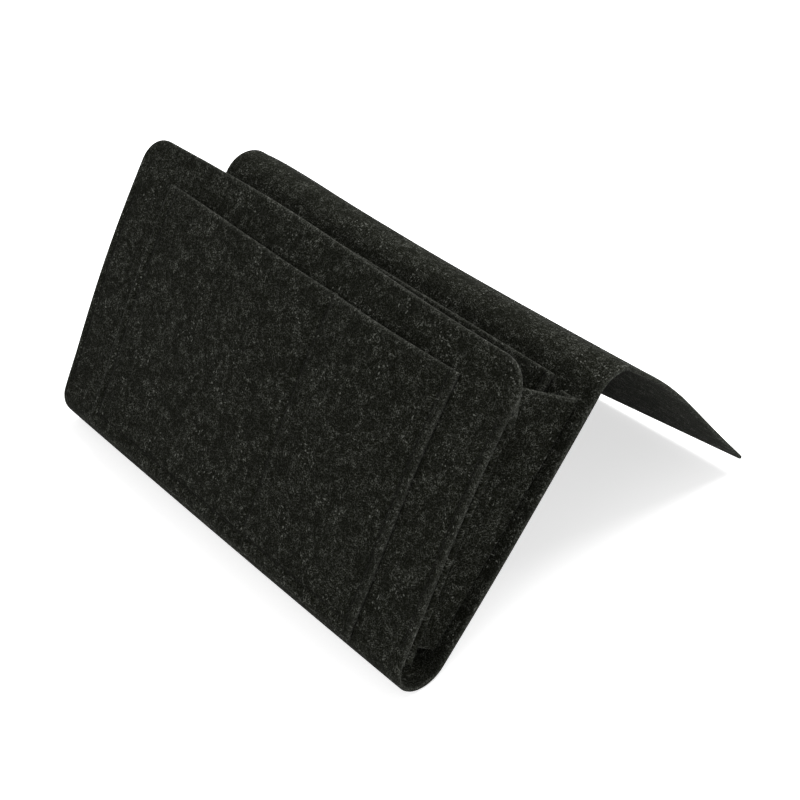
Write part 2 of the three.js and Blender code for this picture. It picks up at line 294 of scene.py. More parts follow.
def threadMaterial(name):
    # twisted thread: a slanted wave over its length and girth
    material, tree = newMaterial(name)
    flat = addNode(tree, "ShaderNodeUVMap", {"uv_map": "flat"})
    turned = addNode(
        tree, "ShaderNodeMapping", Vector=flat.outputs[0], Rotation=(0, 0, math.radians(thread["twist"])),
        Scale=(1 / thread["ply"], 1 / thread["ply"], 1))
    ply = addNode(
        tree, "ShaderNodeTexWave", Vector=turned.outputs[0], Scale=thread["waveScale"],
        Distortion=thread["warp"], DetailScale=thread["warpScale"]).outputs["Fac"]
    bump = addNode(tree, "ShaderNodeBump", Height=ply, Strength=thread["bump"], Distance=thread["bumpHeight"])
    setShader(tree, {
        "Base Color": mixColour(tree, ply, thread["dark"], thread["light"]),
        "Normal": bump.outputs[0],
        "Roughness": thread["roughness"],
        "Specular IOR Level": thread["specular"],
    })
    return material


feltLook = feltMaterial("heathered_felt")
threadLook = threadMaterial("sewing_thread")
print("materials: felt and thread")


# Long felt sheet, in millimetres and degrees. Its side view is one path: down the front panel, round the
# bottom bend, up the back panel, over the top bend and down the flap.
longSheet = {
    "felt": 2.5,
    "halfWidth": 150.0,
    "front": 160.0,
    "back": 154.0,
    "flap": 145.0,
    "bottomRadius": 15.5,
    "bottomTurn": 169.0,
    "topRadius": 18.3,
    "topTurn": -103.0,
    "cornerRadius": 16.0,
    "frontBow": 3.0,
    "backBow": 2.3,
    "flapBow": 3.0,
    "flapBowPower": 0.75,  # below 1, the bow is most near the top bend
    "bottomBulge": 1.7,
    "bulgeFade": 0.6,  # share that is lost at the side edges
    "bulgeReach": 30.0,
    "bulgeBelow": 2.0,  # its middle, below the front panel's flat part
    "topSag": (2.1, 4.6, 4.9, 1.9),  # of the top bend, from left to right
    "sagAt": (-1, 0, 0.5, 1),  # shares of the half width
    "sagReach": (95.0, 55.0),  # down the back panel and down the flap
    "leftLift": 12.5,  # of the flap's end corners
    "leftLiftFrom": -55.0,
    "rightLift": 14.2,
    "rightLiftFrom": -10.0,
    "rightLiftSoft": 0.04,  # softens the start of the rise
    "endDip": 0.9,  # of the flap between its right end and its middle
    "dipFrom": 0.35,  # share of the flap's length
    "dipAcross": (20.0, 140.0),
    "wave": 0.5,
    "frontWave": (0.033, 0.9),  # radians per millimetre, and phase
    "backWave": (0.027, 2.0),
    "lean": 1.3,  # the front panel's top is this far to the right
    "leanShares": (0.6, 0.4),  # of the lean: everywhere, and growing to the right
    "leanReach": 60.0,
    "topDrop": 3.2,  # the front's top edge is lower on the right
    "topDropAcross": (-15.0, 110.0),
    "topArch": 1.2,
    "archAt": -45.0,
    "archWidth": 45.0,
    "leftDrop": 0.9,
    "leftDropAcross": (-95.0, -150.0),
    "dropReach": 70.0,
    "split": 70.0,  # height on the back panel where the two pieces of the sheet meet
}

bottomArc = longSheet["bottomRadius"] * math.radians(longSheet["bottomTurn"])
topArc = longSheet["topRadius"] * math.radians(abs(longSheet["topTurn"]))
frontEnd = longSheet["front"]
backStart = frontEnd + bottomArc
backEnd = backStart + longSheet["back"]
flapStart = backEnd + topArc
sheetEnd = flapStart + longSheet["flap"]

backAxis = joints["right_back_leaf_fold"]["axis"]
backHeading = math.atan2(backAxis[2], backAxis[1])
frontHeading = backHeading - math.radians(longSheet["bottomTurn"])
flapHeading = backHeading + math.radians(longSheet["topTurn"])
pathStep = 0.2
pathSpare = 10  # past both ends
pathS = np.arange(-pathSpare, sheetEnd + pathSpare, pathStep)
pathHeading = np.interp(
    pathS, [frontEnd, backStart, backEnd, flapStart], [frontHeading, backHeading, backHeading, flapHeading])


def runningSum(slope):
    return np.concatenate([[0], np.cumsum((slope[1:] + slope[:-1]) / 2 * pathStep)])


pathY = runningSum(np.cos(pathHeading))
pathZ = runningSum(np.sin(pathHeading))
foldAt = frontEnd + bottomArc / 2
pathY += joints["front_fold"]["pos_m"][1] / mm - np.interp(foldAt, pathS, pathY)
pathZ += joints["front_fold"]["pos_m"][2] / mm - np.interp(foldAt, pathS, pathZ)


def ease(low, high, value):
    # 0 at low and 1 at high, 3t2 - 2t3 between
    t = np.clip((value - low) / (high - low), 0, 1)
    return t * t * (3 - 2 * t)


def between(first, last, share):
    return first + (last - first) * share


sagCurve = np.polyfit(longSheet["sagAt"], longSheet["topSag"], 3)  # a cubic


def swell(x, s):
    # How far the felt stands off its plain path, towards its outer side: a half sine over each straight
    # stretch, the top bend's sag, a cubic across that fades along the path, the bulge where the bottom bend
    # starts, the flap's raised corners, its dip beside the right one and a slow wave.
    across = x / longSheet["halfWidth"]
    onFront = np.sin(np.pi * np.clip(s / frontEnd, 0, 1))
    onBack = np.sin(np.pi * np.clip((s - backStart) / longSheet["back"], 0, 1))
    flapShare = np.clip((s - flapStart) / longSheet["flap"], 0, 1)
    bows = (
        longSheet["frontBow"] * onFront + longSheet["backBow"] * onBack
        - longSheet["flapBow"] * np.sin(np.pi * flapShare ** longSheet["flapBowPower"]))

    fromTop = s - (backEnd + flapStart) / 2
    backReach, flapReach = longSheet["sagReach"]
    sagReach = np.where(fromTop < 0, backReach, flapReach)
    sag = np.polyval(sagCurve, across) * ease(sagReach, 0, np.abs(fromTop))
    bulge = longSheet["bottomBulge"] * (1 - longSheet["bulgeFade"] * across ** 2)
    bulge = bulge * ease(longSheet["bulgeReach"], 0, np.abs(s - frontEnd - longSheet["bulgeBelow"]))

    left = longSheet["leftLift"] * ease(longSheet["leftLiftFrom"], -longSheet["halfWidth"], x)
    liftFrom, soft = longSheet["rightLiftFrom"], longSheet["rightLiftSoft"]
    rise = np.clip((x - liftFrom) / (longSheet["halfWidth"] - liftFrom), 0, 1)
    right = longSheet["rightLift"] * (1 + soft) * rise ** 2 / (rise + soft)
    dipShare = np.clip((flapShare - longSheet["dipFrom"]) / (1 - longSheet["dipFrom"]), 0, 1)
    dip = longSheet["endDip"] * np.sin(np.pi * dipShare) * ease(*longSheet["dipAcross"], x)

    frontRate, frontPhase = longSheet["frontWave"]
    backRate, backPhase = longSheet["backWave"]
    wave = np.sin(frontRate * x + frontPhase) * onFront + np.sin(backRate * x + backPhase) * onBack
    return bows + sag + bulge + dip - (left + right) * flapShare + longSheet["wave"] * wave


def besidePath(s, off):
    # a point of the side view that stands off the path on its outer side
    heading = np.interp(s, pathS, pathHeading)
    y = np.interp(s, pathS, pathY) + np.sin(heading) * off
    z = np.interp(s, pathS, pathZ) - np.cos(heading) * off
    return y, z


def surfacePoint(x, s, lift):
    # a point beside the sheet: its place across and along it, and how far it stands off on the outer side
    y, z = besidePath(s, swell(x, s) + lift)
    evenly, growing = longSheet["leanShares"]
    lean = longSheet["lean"] * (evenly + growing * x / longSheet["halfWidth"])
    aside = x + lean * ease(longSheet["leanReach"], 0, s)
    return np.stack(np.broadcast_arrays(aside, y, z), axis=-1)


def outward(s):
    heading = np.interp(s, pathS, pathHeading)
    return np.stack([0 * heading, np.sin(heading), -np.cos(heading)], axis=-1)


def panelS(panel, height):
    # place along the path of a height above the bottom bend
    return backStart + height if panel == "back" else frontEnd - height


print("path: sheet", round(sheetEnd, 1), "mm long")


# Meshes, in millimetres
grid = {
    "step": 3.2,
    "rowStep": 3.0,
    "clear": 0.4,  # even lines keep this share of a step from the closer ones
    "apart": 0.15,  # least distance of two rows
    "nearCut": (0, 0.3, 0.7, 1.3, 2.2),
    "nearSeam": (-3.2, -2, -1.2, -0.6, 0, 0.6, 1.2, 2, 3.2),
    "cornerTurn": 8,  # degrees between two rows of a rounded corner
    "bottomRows": 31,
    "topRows": 23,
}
shell = {
    "edgeThin": 0.35,  # share of the thickness that is lost at a cut edge
    "edgeWidth": 0.5,
    "rim": 0.3,  # roundness of the rim
    "cutReach": 0.9,  # of the lighter cut edge
    "innerFlat": 400.0,  # the inner face's place beside the outer one in the pattern
}


def newPiece(name, points, faces, flat, look):
    mesh = bpy.data.meshes.new(name)
    mesh.from_pydata((points * mm).tolist(), [], faces)
    mesh.uv_layers.new(name="flat").data.foreach_set("uv", (flat * mm).ravel())
    mesh.polygons.foreach_set("use_smooth", np.ones(len(mesh.polygons), bool))
    mesh.materials.append(look)
    return addObject(name, mesh)


def setAttribute(mesh, name, kind, domain, values):
    mesh.attributes.new(name, kind, domain).data.foreach_set("value", values)


def gridLines(start, end, step, cuts=(True, True), seams=()):
    # even lines from start to end, with closer ones at cut edges and beside seams
    near = np.array(grid["nearCut"])
    fine = [np.array([start, end])]
    if cuts[0]:
        fine.append(start + near)
    if cuts[1]:
        fine.append(end - near)
    for line in seams:
        fine.append(line + np.array(grid["nearSeam"]))
    fine = np.unique(np.round(np.concatenate(fine), 3))
    even = np.linspace(start, end, int(round((end - start) / step)) + 1)
    even = even[np.abs(even[:, None] - fine[None]).min(1) > grid["clear"] * step]
    return np.unique(np.concatenate([fine, even]))


def mergedRows(*parts):
    # sorted, without those that almost coincide
    rows = np.unique(np.round(np.concatenate(parts), 2))
    return rows[np.concatenate([[True], np.diff(rows) > grid["apart"]])]


def feltShell(name, middle, flat, cut, dentOut=0.0, dentIn=0.0, joined=None, mitre=None, thin=1.0):
    # A sheet of felt as a closed shell. Both faces stand half its thickness off the middle surface, along its
    # normal, less at a cut edge and in a dent, and a rounded rim of two strips joins them. A joined side has
    # a plain rim. A mitre is a column and the vector that its normals take.
    rows, cols = cut.shape
    total = rows * cols
    ids = np.arange(total).reshape(rows, cols)
    normal = np.cross(np.gradient(middle, axis=0), np.gradient(middle, axis=1))
    normal /= np.linalg.norm(normal, axis=2, keepdims=True)
    if mitre:
        column, vector = mitre
        side = np.sign(np.sum(normal[:, column] * vector, axis=1, keepdims=True))
        normal[:, column] = side * vector
    thinner = 1 - shell["edgeThin"] * np.exp(-(cut / shell["edgeWidth"]) ** 2)
    half = longSheet["felt"] / 2 * thin * thinner
    outer = (middle + normal * (half - dentOut)[..., None]).reshape(-1, 3)
    inner = (middle - normal * (half - dentIn)[..., None]).reshape(-1, 3)

    ring = np.concatenate([ids[0, :-1], ids[:-1, -1], ids[-1, :0:-1], ids[:0:-1, 0]])
    ringRow, ringCol = ring // cols, ring % cols
    inside = ids[np.clip(ringRow, 1, rows - 2), np.clip(ringCol, 1, cols - 2)]
    sides = {"lastRow": ringRow == rows - 1, "firstRow": ringRow == 0, "lastCol": ringCol == cols - 1}
    onJoin = sides[joined] if joined else np.zeros(len(ring), bool)
    away = middle.reshape(-1, 3)[ring] - middle.reshape(-1, 3)[inside]
    away /= np.linalg.norm(away, axis=1, keepdims=True)
    rim = (outer[ring] + inner[ring]) / 2 + away * np.where(onJoin, 0, shell["rim"])[:, None]

    following = np.roll(ring, -1)
    rimIds = 2 * total + np.arange(len(ring))
    rimFollowing = np.roll(rimIds, -1)
    corners = [ids[:-1, :-1], ids[1:, :-1], ids[1:, 1:], ids[:-1, 1:]]
    outerFaces = np.stack(corners, axis=-1).reshape(-1, 4)
    innerFaces = outerFaces[:, ::-1] + total
    outerRim = np.stack([ring, following, rimFollowing, rimIds], axis=-1)
    innerRim = np.stack([rimIds, rimFollowing, following + total, ring + total], axis=-1)
    faces = np.concatenate([outerFaces, innerFaces, outerRim, innerRim])

    # in the pattern, the rim goes on past the outer face's edge
    flatPoints = flat.reshape(-1, 2)
    flatAway = flatPoints[ring] - flatPoints[inside]
    flatAway *= longSheet["felt"] / 2 / np.linalg.norm(flatAway, axis=1, keepdims=True)
    edge = flatPoints[ring]
    edges = [edge, edge + flatAway, edge + 2 * flatAway]
    nexts = [np.roll(e, -1, axis=0) for e in edges]
    flatFaces = np.concatenate([
        flatPoints[outerFaces],
        flatPoints[innerFaces - total] + np.array([shell["innerFlat"], 0.0]),
        np.stack([edges[0], nexts[0], nexts[1], edges[1]], axis=1),
        np.stack([edges[1], nexts[1], nexts[2], edges[2]], axis=1)])

    points = np.concatenate([outer, inner, rim])
    piece = newPiece(name, points, faces.tolist(), flatFaces, feltLook)
    mesh = piece.data
    nearCut = np.exp(-cut / shell["cutReach"]).ravel()
    cutEdge = np.concatenate([nearCut, nearCut, np.where(onJoin, 0, 1)])
    setAttribute(mesh, "cutEdge", "FLOAT", "POINT", cutEdge.astype(np.float32))
    # the dent's depth, which the felt's material darkens as painted shade
    dents = [np.broadcast_to(d, cut.shape).ravel() for d in (dentOut, dentIn)]
    dent = np.clip(np.concatenate(dents + [np.zeros(len(ring))]), 0, 1)
    setAttribute(mesh, "dent", "FLOAT", "POINT", dent.astype(np.float32))
    if joined:
        crease = np.zeros(len(points), bool)
        creased = ids[:, column:column + 2].ravel() if mitre else ring[onJoin]
        crease[creased] = True
        crease[creased + total] = True
        ends = np.empty(2 * len(mesh.edges), np.int32)
        mesh.edges.foreach_get("vertices", ends)
        sharp = crease[ends.reshape(-1, 2)].all(axis=1)
        setAttribute(mesh, "sharp_edge", "BOOLEAN", "EDGE", sharp)
    return piece


# Seams, in millimetres
seam = {
    "inset": 5.5,
    "depth": 0.7,  # of the dent that the thread pulls
    "dentWidth": 1.5,
    "fade": 2.0,  # length in which a dent ends
    "pull": 0.2,  # share of the dent by which the whole felt is pulled in
    "proud": 0.3,  # thread above the dent's ground
    "pitch": 4.0,
    "stitch": 3.5,
    "radius": 0.4,
    "dip": 0.8,
    "skew": 0.12,
    "tip": 1.02,  # above 1, so that a stitch's tips keep some thickness
    "rings": 7,
    "sides": 6,
    "flatPitch": 5.0,  # from stitch to stitch in the pattern
}


def trough(distance):
    return np.exp(-(distance / seam["dentWidth"]) ** 2)


# Gussets: one folded strip at each end of the main pocket. Heights are along the panels, and reach is the
# leaf's width at its top and bottom. Bend is how far off its panel a leaf starts to turn and has turned
# wholly.
gusset = {
    "flange": 12.0,
    "flangeLift": 2.45,
    "flangeStep": 2.0,
    "foldRadius": 1.4,
    "foldColumns": 9,
    "axisLift": 5.6,
    "leafBow": 0.8,
    "leafColumns": 14,
    "valley": {"top": 138.75, "bottom": 2.25},
    "mitreNormal": (0.985, 0.138, -0.102),  # on the right
    "mitreStretch": 1.217,  # keeps the felt's thickness where both halves meet
    "tongue": {"length": 4.5, "thin": 0.45, "shorter": 0.03, "shares": (0, 0.5, 1)},
    "bendAt": 75.0,  # height at which the bend is measured
    "flatPlace": {"back": 1500.0, "front": 1600.0},  # in the pattern
    "flatRight": 200.0,
    "back": {
        "fold": 143.0, "top": 145.0, "bottom": 4.0, "angle": 65.14,
        "reach": (28.4, 8.87), "bend": (3.9, 40.0),
    },
    "front": {
        "fold": 151.0, "top": 132.5, "bottom": 0.5, "angle": 45.4,
        "reach": (28.4, 16.7), "bend": (3.9, 26.0),
    },
}


flangeSeamX = {panel: gusset[panel]["fold"] - seam["inset"] for panel in ("back", "front")}


def flangeEnds(panel):
    # heights of a flange seam's ends
    return gusset[panel]["bottom"] + seam["inset"], gusset[panel]["top"] - seam["inset"]


def flangeDent(x, height, panel):
    low, high = flangeEnds(panel)
    onSeam = ease(low - seam["fade"], low, height) * ease(high + seam["fade"], high, height)
    return trough(np.abs(x) - flangeSeamX[panel]) * onSeam


# Front panel, bottom bend and the back panel's lower part

def frontSheet():
    # across is stretched to the width at that row, which narrows as a quarter circle at the top corners
    radius, side = longSheet["cornerRadius"], longSheet["halfWidth"]
    frontX, backX = flangeSeamX["front"], flangeSeamX["back"]
    across = gridLines(-side, side, grid["step"], seams=(-frontX, -backX, backX, frontX)) / side
    cornerTurns = np.radians(np.arange(grid["cornerTurn"], 90, grid["cornerTurn"]))
    rows = mergedRows(
        gridLines(0, backStart + longSheet["split"], grid["rowStep"], cuts=(True, False)),
        radius * (1 - np.cos(cornerTurns)), np.linspace(frontEnd, backStart, grid["bottomRows"]))
    s = rows[:, None] + 0 * across[None]
    fromTop = np.clip(radius - s, 0, radius)
    x = across[None] * (side - radius + np.sqrt(radius ** 2 - fromTop ** 2))
    arch = longSheet["topArch"] * np.exp(-((x - longSheet["archAt"]) / longSheet["archWidth"]) ** 2)
    drop = (
        longSheet["topDrop"] * ease(*longSheet["topDropAcross"], x) - arch
        + longSheet["leftDrop"] * ease(*longSheet["leftDropAcross"], x))
    drop = drop * ease(longSheet["dropReach"], 0, s)

    overX = np.abs(x) - (side - radius)
    overS = radius - s
    corner = radius - np.hypot(np.maximum(overX, 0), np.maximum(overS, 0))
    cut = np.where((overX > 0) & (overS > 0), corner, np.minimum(side - np.abs(x), s))
    dent = seam["depth"] * (flangeDent(x, frontEnd - s, "front") + flangeDent(x, s - backStart, "back"))
    flat = np.stack([x, s], axis=-1)
    return feltShell(
        "front_sheet", surfacePoint(x, s + drop, 0.0), flat, cut, dentOut=dent, joined="lastRow")


# Back panel's upper part, top bend and flap

def flapSheet():
    side, backX = longSheet["halfWidth"], flangeSeamX["back"]
    x = gridLines(-side, side, grid["step"], seams=(-backX, backX))[None]
    rows = mergedRows(
        gridLines(backStart + longSheet["split"], sheetEnd, grid["rowStep"], cuts=(False, True)),
        np.linspace(backEnd, flapStart, grid["topRows"]))
    x, s = np.broadcast_arrays(x, rows[:, None])
    cut = np.minimum(side - np.abs(x), sheetEnd - s)
    dent = seam["depth"] * flangeDent(x, s - backStart, "back")
    flat = np.stack([x, s], axis=-1)
    return feltShell("flap_sheet", surfacePoint(x, s, 0.0), flat, cut, dentOut=dent, joined="firstRow")


frontFelt = frontSheet()
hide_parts("front_panel", "back_panel")
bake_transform(frontFelt)
flapFelt = flapSheet()
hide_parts("flap")
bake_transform(flapFelt)
print("long sheet: two pieces")


# Slip pocket on the front panel, with a dividing seam. Its mouth gapes a little in both compartments.
slip = {
    "left": -117.0,
    "right": 116.0,
    "divider": 26.0,
    "mouth": 22.0,  # along the path
    "end": 166.0,
    "lowSeam": 1.0,  # above the bottom bend
    "lift": 2.5,
    "wideGape": 1.3,
    "narrowGape": 2.4,
    "gapeReach": 30.0,
    "puff": 0.5,
    "mouthDrop": (-2.0, 0.4),  # at its left and right end
    "dropTo": 40.0,  # across, where the right end's drop is reached
    "seamTops": (-1.6, 0.4),  # of the side seams, from the mouth
    "flatPlace": 700.0,  # in the pattern
}
slipSeams = (slip["left"] + seam["inset"], slip["divider"], slip["right"] - seam["inset"])
slipLowS = frontEnd - slip["lowSeam"]


def slipLift(x, s):
    # each compartment stands off as a half sine between its seams, most at the mouth
    left, divider, right = slipSeams
    wide = np.sin(np.pi * np.clip((x - left) / (divider - left), 0, 1))
    narrow = np.sin(np.pi * np.clip((x - divider) / (right - divider), 0, 1))
    atMouth = np.exp(-np.clip(s - slip["mouth"], 0, None) / slip["gapeReach"])
    low = np.sin(np.pi * np.clip((s - slip["mouth"]) / (frontEnd - slip["mouth"]), 0, 1))
    gape = (slip["wideGape"] * wide + slip["narrowGape"] * narrow) * atMouth
    puff = slip["puff"] * (wide + narrow) * low
    return slip["lift"] + gape + puff


def slipSag(x, s):
    # the mouth's line is lower on the right
    drop = between(*slip["mouthDrop"], ease(slip["left"], slip["dropTo"], x))
    return drop * (slip["end"] - s) / (slip["end"] - slip["mouth"])


def slipPocket():
    left, divider, right = slipSeams
    fade = seam["fade"]
    x = gridLines(slip["left"], slip["right"], grid["rowStep"], seams=slipSeams)[None]
    s = gridLines(slip["mouth"], slip["end"], grid["rowStep"], seams=(slipLowS,))[:, None]
    x, s = np.broadcast_arrays(x, s)
    sideCut = np.minimum(x - slip["left"], slip["right"] - x)
    cut = np.minimum(sideCut, np.minimum(s - slip["mouth"], slip["end"] - s))
    sideSeam = np.maximum(trough(x - left), trough(x - right))
    sewn = np.maximum(sideSeam, trough(x - divider)) * ease(slipLowS + fade, slipLowS, s)
    level = trough(s - slipLowS) * ease(left - fade, left, x) * ease(right + fade, right, x)
    dent = seam["depth"] * np.maximum(sewn, level)
    flat = np.stack([x + slip["flatPlace"], s], axis=-1)
    middle = surfacePoint(x, s + slipSag(x, s), slipLift(x, s) - seam["pull"] * dent)
    return feltShell("slip_pocket_felt", middle, flat, cut, dentOut=dent)


slipFelt = slipPocket()
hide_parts("slip_pocket")
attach(slipFelt, "front")


# Inner pocket on the back panel
innerPocket = {
    "half": 122.5,
    "bottom": 12.0,
    "top": 149.7,
    "lift": 2.5,
    "gape": 1.6,
    "gapeReach": 35.0,
    "flatPlace": 1100.0,  # in the pattern
}
innerSeamX = innerPocket["half"] - seam["inset"]
innerLow = innerPocket["bottom"] + seam["inset"]


def innerLift(x, s):
    # it stands off as a half cosine between its seams, most at its mouth
    fromMouth = s - backStart - innerPocket["top"]
    across = np.cos(np.pi / 2 * np.clip(x / innerSeamX, -1, 1))
    return innerPocket["lift"] + innerPocket["gape"] * across * np.exp(fromMouth / innerPocket["gapeReach"])


def innerPocketFelt():
    half, bottom, top = innerPocket["half"], innerPocket["bottom"], innerPocket["top"]
    fade = seam["fade"]
    x = gridLines(-half, half, grid["step"], seams=(-innerSeamX, innerSeamX))[None]
    height = gridLines(bottom, top, grid["step"], seams=(innerLow,))[:, None]
    x, height = np.broadcast_arrays(x, height)
    cut = np.minimum(half - np.abs(x), np.minimum(height - bottom, top - height))
    sides = trough(np.abs(x) - innerSeamX) * ease(innerLow - fade, innerLow, height)
    level = trough(height - innerLow) * ease(innerSeamX + fade, innerSeamX, np.abs(x))
    dent = seam["depth"] * np.maximum(sides, level)
    s = backStart + height
    middle = surfacePoint(x, s, -innerLift(x, s) + seam["pull"] * dent)
    flat = np.stack([x + innerPocket["flatPlace"], height], axis=-1)
    return feltShell("inner_pocket_felt", middle, flat, cut, dentIn=dent)


innerFelt = innerPocketFelt()
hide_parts("inner_pocket")
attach(innerFelt, "back")
print("pockets: slip and inner")


# Gusset halves

def leafPoint(sign, panel, fromTop, share):
    # a point on a plain leaf that stands off its panel at its own angle, from its fold at share 0 to its end
    # at share 1
    half, valley = gusset[panel], gusset["valley"]
    angle = math.radians(half["angle"])
    reach = between(*half["reach"], fromTop) * share
    height = between(valley["top"], valley["bottom"], fromTop)
    x = half["fold"] - longSheet["felt"] / 2 - reach * math.cos(angle)
    return surfacePoint(sign * x, panelS(panel, height), -gusset["axisLift"] - reach * math.sin(angle))


def gussetHalf(side, panel):
    # Across the strip: a flange on the panel, a round fold and a slightly bowed leaf to the valley, where
    # both halves meet on a mitre. From top to bottom, the leaf's width changes evenly. The valley is midway
    # between both leaves' ends. Past it, a thin tongue lies inside the other half's felt, so that the valley
    # stays covered when the halves part.
    sign = -1 if side == "left" else 1
    half, valley, tongue = gusset[panel], gusset["valley"], gusset["tongue"]
    lift, radius = gusset["flangeLift"], gusset["foldRadius"]
    angle = math.radians(half["angle"])
    axisX = half["fold"] - longSheet["felt"] / 2
    flangeX = gridLines(
        half["fold"] - gusset["flange"], axisX - radius, gusset["flangeStep"], cuts=(True, False))[:-1]
    turns = np.linspace(math.pi / 2, angle - math.pi / 2, gusset["foldColumns"])
    pathX = np.concatenate([flangeX, axisX - radius + radius * np.cos(turns)])
    pathLift = np.concatenate([0 * flangeX + lift, lift + radius - radius * np.sin(turns)])
    share = np.concatenate([0 * pathX, np.linspace(0, 1, gusset["leafColumns"])[1:]])[None]
    column = np.minimum(np.arange(share.size), len(pathX) - 1)[None]

    tall = half["top"] - half["bottom"]
    fromTop = gridLines(0, tall, grid["step"])[:, None] / tall
    top = between(half["top"], valley["top"], share)
    bottom = between(half["bottom"], valley["bottom"], share)
    height = between(top, bottom, fromTop)
    reach = between(*half["reach"], fromTop)
    valleyX = axisX - reach * math.cos(angle)
    valleyLift = gusset["axisLift"] + reach * math.sin(angle)
    bow = gusset["leafBow"] * np.sin(np.pi * share)
    x = pathX[column] + (valleyX - pathX[-1]) * share + bow * math.sin(angle)
    depth = pathLift[column] + (valleyLift - pathLift[-1]) * share - bow * math.cos(angle)

    otherPanel = "front" if panel == "back" else "back"
    rows = fromTop[:, 0]
    own = leafPoint(sign, panel, rows, 1)
    other = leafPoint(sign, otherPanel, rows, 1)
    middle = surfacePoint(sign * x, panelS(panel, height), -depth)
    middle = middle + share[..., None] * (other - own)[:, None] / 2
    valleyLine = (own + other) / 2
    intoOther = leafPoint(sign, otherPanel, rows, 0) - valleyLine
    intoOther *= tongue["length"] / np.linalg.norm(intoOther, axis=1, keepdims=True)
    intoOther += tongue["shorter"] * (valleyLine.mean(axis=0) - valleyLine)
    tongueShare = np.array(tongue["shares"])
    tonguePoints = valleyLine[:, None] + tongueShare[None, :, None] * intoOther[:, None]

    stepX = np.diff(x, axis=1, prepend=x[:, :1])
    stepDepth = np.diff(depth, axis=1, prepend=depth[:, :1])
    along = np.cumsum(np.hypot(stepX, stepDepth), axis=1)
    cut = np.minimum(along, np.minimum(top - height, height - bottom))
    tongueCut = np.repeat(cut[:, -1:], tongueShare.size, axis=1)
    place = gusset["flatPlace"][panel] + gusset["flatRight"] * (sign > 0)
    flat = np.stack([along + place, height], axis=-1)
    flatTongue = flat[:, -1:] + np.stack([tongue["length"] * tongueShare, 0 * tongueShare], axis=-1)[None]
    normal = np.array([sign, 1, 1]) * gusset["mitreNormal"] * gusset["mitreStretch"]
    thin = np.concatenate([np.ones(share.size), np.full(tongueShare.size, tongue["thin"])])
    return feltShell(
        f"gusset_{side}_{panel}_felt", np.concatenate([middle, tonguePoints], axis=1),
        np.concatenate([flat, flatTongue], axis=1), np.concatenate([cut, tongueCut], axis=1),
        joined="lastCol", mitre=(share.size - 1, normal), thin=thin)


for side in ("left", "right"):
    for panel in ("back", "front"):
        piece = gussetHalf(side, panel)
        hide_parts(f"gusset_{side}_{panel}_flange", f"gusset_{side}_{panel}_leaf")
        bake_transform(piece)
print("gussets: four halves")


# Stitches

def stitchRows(name, runs, lift, node, body):
    # Each run is rows of points across and along the sheet. A stitch is a bent thread: rings round a line
    # that dips into the felt at its ends as a fourth power, thinner at its tips.
    x, s, stepX, stepS = (np.concatenate(parts) for parts in zip(*runs))
    lifts = lift(x, s)
    centre = surfacePoint(x, s, lifts)
    tangent = surfacePoint(x + stepX, s + stepS, lifts) - centre
    tangent /= np.linalg.norm(tangent, axis=1, keepdims=True)
    out = outward(s) * np.sign(lifts)[:, None]
    beside = np.cross(tangent, out)
    t = np.linspace(-1, 1, seam["rings"])
    turn = np.linspace(0, 2 * np.pi, seam["sides"], endpoint=False)
    forward = t * seam["stitch"] / 2
    line = (
        centre[:, None] + tangent[:, None] * forward[None, :, None]
        + beside[:, None] * (seam["skew"] * t)[None, :, None]
        - out[:, None] * (seam["dip"] * t ** 4)[None, :, None])
    radius = seam["radius"] * np.sqrt(seam["tip"] - t ** 6)
    spoke = out[:, None] * np.cos(turn)[None, :, None] + beside[:, None] * np.sin(turn)[None, :, None]
    points = line[:, :, None] + radius[None, :, None, None] * spoke[:, None]

    shape = (len(x), t.size, turn.size)
    ids = np.arange(math.prod(shape)).reshape(shape)
    around = np.roll(ids, -1, axis=2)
    quads = np.stack([ids[:, :-1], around[:, :-1], around[:, 1:], ids[:, 1:]], axis=-1).reshape(-1, 4)
    caps = np.concatenate([ids[:, 0, ::-1], ids[:, -1]])
    starts = seam["flatPitch"] * np.arange(len(x))
    length = np.broadcast_to(forward[None, :, None] + starts[:, None, None], shape)
    girth = np.broadcast_to((seam["radius"] * turn)[None, None, :], shape)
    nextGirth = girth + seam["radius"] * 2 * np.pi / seam["sides"]
    corners = [
        (length[:, :-1], girth[:, :-1]), (length[:, :-1], nextGirth[:, :-1]),
        (length[:, 1:], nextGirth[:, 1:]), (length[:, 1:], girth[:, 1:])]
    flat = np.stack([np.stack(corner, axis=-1) for corner in corners], axis=3)
    flat = np.concatenate([flat.reshape(-1, 2), np.zeros((caps.size, 2))])
    piece = newPiece(name, points.reshape(-1, 3), quads.tolist() + caps.tolist(), flat, threadLook)
    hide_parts(node)
    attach(piece, body)


def stitchRun(startX, startS, endX, endS):
    # stitch middles, evenly spread from start to end, and the unit step between them
    length = math.hypot(endX - startX, endS - startS)
    count = int(round(length / seam["pitch"]))
    share = (np.arange(count) + 0.5) / count
    x = between(startX, endX, share)
    s = between(startS, endS, share)
    return x, s, 0 * x + (endX - startX) / length, 0 * x + (endS - startS) / length


halfFelt = longSheet["felt"] / 2
sunk = seam["depth"] * (1 + seam["pull"]) - seam["proud"]


def slipFace(x, s):
    return slipLift(x, s) + halfFelt - sunk


def innerFace(x, s):
    return -innerLift(x, s) - halfFelt + sunk


def panelFace(x, s):
    return 0 * x + halfFelt - seam["depth"] + seam["proud"]


